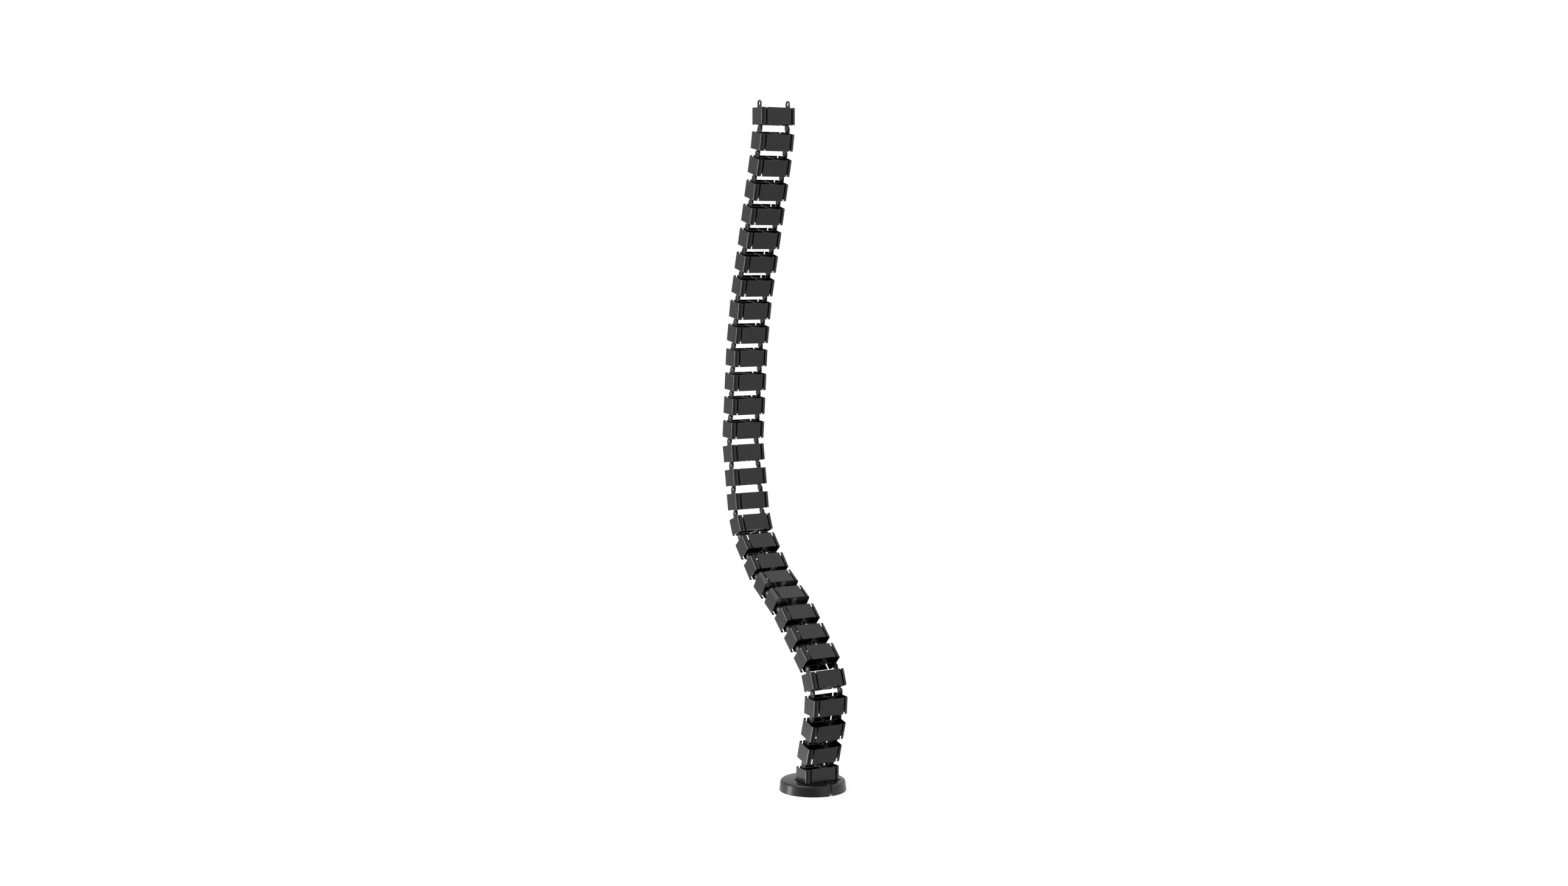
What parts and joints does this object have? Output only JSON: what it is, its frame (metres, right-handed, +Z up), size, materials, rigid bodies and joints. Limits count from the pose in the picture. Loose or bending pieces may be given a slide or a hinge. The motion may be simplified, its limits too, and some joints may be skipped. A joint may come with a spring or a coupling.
{
  "type": "cable spine",
  "caption": "Jointed cable spine: a chain of hollow four-chamber vertebrae on snap hinges, standing in an S curve on a weighted round base with a cable slit.",
  "frame": {"origin": "centre of the round base, on the floor it stands on", "axes": "+Z up from the floor, X along the long side of the vertebrae and every hinge axis, +Y to the back, away from the cable slit"},
  "size_m": [0.1152, 0.3086, 1.1814],
  "materials": {
    "vertebra_plastic": "black, fine satin moulding",
    "base_plastic": "black, fine satin moulding",
    "weight_steel": "raw",
    "pad_rubber": "matte"
  },
  "bodies": {
    "base": {"base_cover": "base_plastic", "base_weight": "weight_steel", "base_pad": "pad_rubber"},
    "vertebra_30": {"vertebra_30": "vertebra_plastic"},
    "vertebra_29": {"vertebra_29": "vertebra_plastic"},
    "vertebra_28": {"vertebra_28": "vertebra_plastic"},
    "vertebra_27": {"vertebra_27": "vertebra_plastic"},
    "vertebra_26": {"vertebra_26": "vertebra_plastic"},
    "vertebra_25": {"vertebra_25": "vertebra_plastic"},
    "vertebra_24": {"vertebra_24": "vertebra_plastic"},
    "vertebra_23": {"vertebra_23": "vertebra_plastic"},
    "vertebra_22": {"vertebra_22": "vertebra_plastic"},
    "vertebra_21": {"vertebra_21": "vertebra_plastic"},
    "vertebra_20": {"vertebra_20": "vertebra_plastic"},
    "vertebra_19": {"vertebra_19": "vertebra_plastic"},
    "vertebra_18": {"vertebra_18": "vertebra_plastic"},
    "vertebra_17": {"vertebra_17": "vertebra_plastic"},
    "vertebra_16": {"vertebra_16": "vertebra_plastic"},
    "vertebra_15": {"vertebra_15": "vertebra_plastic"},
    "vertebra_14": {"vertebra_14": "vertebra_plastic"},
    "vertebra_13": {"vertebra_13": "vertebra_plastic"},
    "vertebra_12": {"vertebra_12": "vertebra_plastic"},
    "vertebra_11": {"vertebra_11": "vertebra_plastic"},
    "vertebra_10": {"vertebra_10": "vertebra_plastic"},
    "vertebra_09": {"vertebra_09": "vertebra_plastic"},
    "vertebra_08": {"vertebra_08": "vertebra_plastic"},
    "vertebra_07": {"vertebra_07": "vertebra_plastic"},
    "vertebra_06": {"vertebra_06": "vertebra_plastic"},
    "vertebra_05": {"vertebra_05": "vertebra_plastic"},
    "vertebra_04": {"vertebra_04": "vertebra_plastic"},
    "vertebra_03": {"vertebra_03": "vertebra_plastic"},
    "vertebra_02": {"vertebra_02": "vertebra_plastic"},
    "vertebra_01": {"vertebra_01": "vertebra_plastic"}
  },
  "joints": [
    {"name": "base_rock", "type": "hinge", "parent": "base", "child": "vertebra_30", "pos_m": [0, -0.01485, 0.0075], "axis": [1, 0, 0], "range_deg": [-6, 6]},
    {"name": "bend_29", "type": "hinge", "parent": "vertebra_30", "child": "vertebra_29", "pos_m": [0, -0.01485, 0.0505], "axis": [-1, 0, 0], "range_deg": [-24, 56]},
    {"name": "bend_28", "type": "hinge", "parent": "vertebra_29", "child": "vertebra_28", "pos_m": [0, -0.0267, 0.09183], "axis": [1, 0, 0], "range_deg": [-40.5, 39.5]},
    {"name": "bend_27", "type": "hinge", "parent": "vertebra_28", "child": "vertebra_27", "pos_m": [0, -0.03892, 0.13306], "axis": [-1, 0, 0], "range_deg": [-52.5, 27.5]},
    {"name": "bend_26", "type": "hinge", "parent": "vertebra_27", "child": "vertebra_26", "pos_m": [0, -0.04191, 0.17596], "axis": [1, 0, 0], "range_deg": [-16, 64]},
    {"name": "bend_25", "type": "hinge", "parent": "vertebra_26", "child": "vertebra_25", "pos_m": [0, -0.02721, 0.21637], "axis": [-1, 0, 0], "range_deg": [-66, 14]},
    {"name": "bend_24", "type": "hinge", "parent": "vertebra_25", "child": "vertebra_24", "pos_m": [0, 0.00372, 0.24624], "axis": [1, 0, 0], "range_deg": [-40, 40]},
    {"name": "bend_23", "type": "hinge", "parent": "vertebra_24", "child": "vertebra_23", "pos_m": [0, 0.03466, 0.27611], "axis": [-1, 0, 0], "range_deg": [-40, 40]},
    {"name": "bend_22", "type": "hinge", "parent": "vertebra_23", "child": "vertebra_22", "pos_m": [0, 0.06559, 0.30598], "axis": [1, 0, 0], "range_deg": [-29, 51]},
    {"name": "bend_21", "type": "hinge", "parent": "vertebra_22", "child": "vertebra_21", "pos_m": [0, 0.10165, 0.3294], "axis": [-1, 0, 0], "range_deg": [-40, 40]},
    {"name": "bend_20", "type": "hinge", "parent": "vertebra_21", "child": "vertebra_20", "pos_m": [0, 0.13771, 0.35282], "axis": [1, 0, 0], "range_deg": [-56, 24]},
    {"name": "bend_19", "type": "hinge", "parent": "vertebra_20", "child": "vertebra_19", "pos_m": [0, 0.16592, 0.38527], "axis": [-1, 0, 0], "range_deg": [-40, 40]},
    {"name": "bend_18", "type": "hinge", "parent": "vertebra_19", "child": "vertebra_18", "pos_m": [0, 0.19413, 0.41772], "axis": [1, 0, 0], "range_deg": [-59, 21]},
    {"name": "bend_17", "type": "hinge", "parent": "vertebra_18", "child": "vertebra_17", "pos_m": [0, 0.21024, 0.45759], "axis": [-1, 0, 0], "range_deg": [-27, 53]},
    {"name": "bend_16", "type": "hinge", "parent": "vertebra_17", "child": "vertebra_16", "pos_m": [0, 0.21697, 0.50006], "axis": [1, 0, 0], "range_deg": [-40, 40]},
    {"name": "bend_15", "type": "hinge", "parent": "vertebra_16", "child": "vertebra_15", "pos_m": [0, 0.2237, 0.54253], "axis": [-1, 0, 0], "range_deg": [-40, 40]},
    {"name": "bend_14", "type": "hinge", "parent": "vertebra_15", "child": "vertebra_14", "pos_m": [0, 0.23042, 0.585], "axis": [1, 0, 0], "range_deg": [-54, 26]},
    {"name": "bend_13", "type": "hinge", "parent": "vertebra_14", "child": "vertebra_13", "pos_m": [0, 0.22667, 0.62784], "axis": [-1, 0, 0], "range_deg": [-40, 40]},
    {"name": "bend_12", "type": "hinge", "parent": "vertebra_13", "child": "vertebra_12", "pos_m": [0, 0.22293, 0.67067], "axis": [1, 0, 0], "range_deg": [-40, 40]},
    {"name": "bend_11", "type": "hinge", "parent": "vertebra_12", "child": "vertebra_11", "pos_m": [0, 0.21918, 0.71351], "axis": [-1, 0, 0], "range_deg": [-40, 40]},
    {"name": "bend_10", "type": "hinge", "parent": "vertebra_11", "child": "vertebra_10", "pos_m": [0, 0.21543, 0.75635], "axis": [1, 0, 0], "range_deg": [-45, 35]},
    {"name": "bend_09", "type": "hinge", "parent": "vertebra_10", "child": "vertebra_09", "pos_m": [0, 0.20796, 0.79869], "axis": [-1, 0, 0], "range_deg": [-40, 40]},
    {"name": "bend_08", "type": "hinge", "parent": "vertebra_09", "child": "vertebra_08", "pos_m": [0, 0.2005, 0.84104], "axis": [1, 0, 0], "range_deg": [-45, 35]},
    {"name": "bend_07", "type": "hinge", "parent": "vertebra_08", "child": "vertebra_07", "pos_m": [0, 0.18937, 0.88257], "axis": [-1, 0, 0], "range_deg": [-40, 40]},
    {"name": "bend_06", "type": "hinge", "parent": "vertebra_07", "child": "vertebra_06", "pos_m": [0, 0.17824, 0.92411], "axis": [1, 0, 0], "range_deg": [-40, 40]},
    {"name": "bend_05", "type": "hinge", "parent": "vertebra_06", "child": "vertebra_05", "pos_m": [0, 0.16711, 0.96564], "axis": [-1, 0, 0], "range_deg": [-40, 40]},
    {"name": "bend_04", "type": "hinge", "parent": "vertebra_05", "child": "vertebra_04", "pos_m": [0, 0.15598, 1.00718], "axis": [1, 0, 0], "range_deg": [-40, 40]},
    {"name": "bend_03", "type": "hinge", "parent": "vertebra_04", "child": "vertebra_03", "pos_m": [0, 0.14485, 1.04871], "axis": [-1, 0, 0], "range_deg": [-40, 40]},
    {"name": "bend_02", "type": "hinge", "parent": "vertebra_03", "child": "vertebra_02", "pos_m": [0, 0.13372, 1.09025], "axis": [1, 0, 0], "range_deg": [-35, 45]},
    {"name": "bend_01", "type": "hinge", "parent": "vertebra_02", "child": "vertebra_01", "pos_m": [0, 0.12626, 1.1326], "axis": [-1, 0, 0], "range_deg": [-50, 30]}
  ]
}
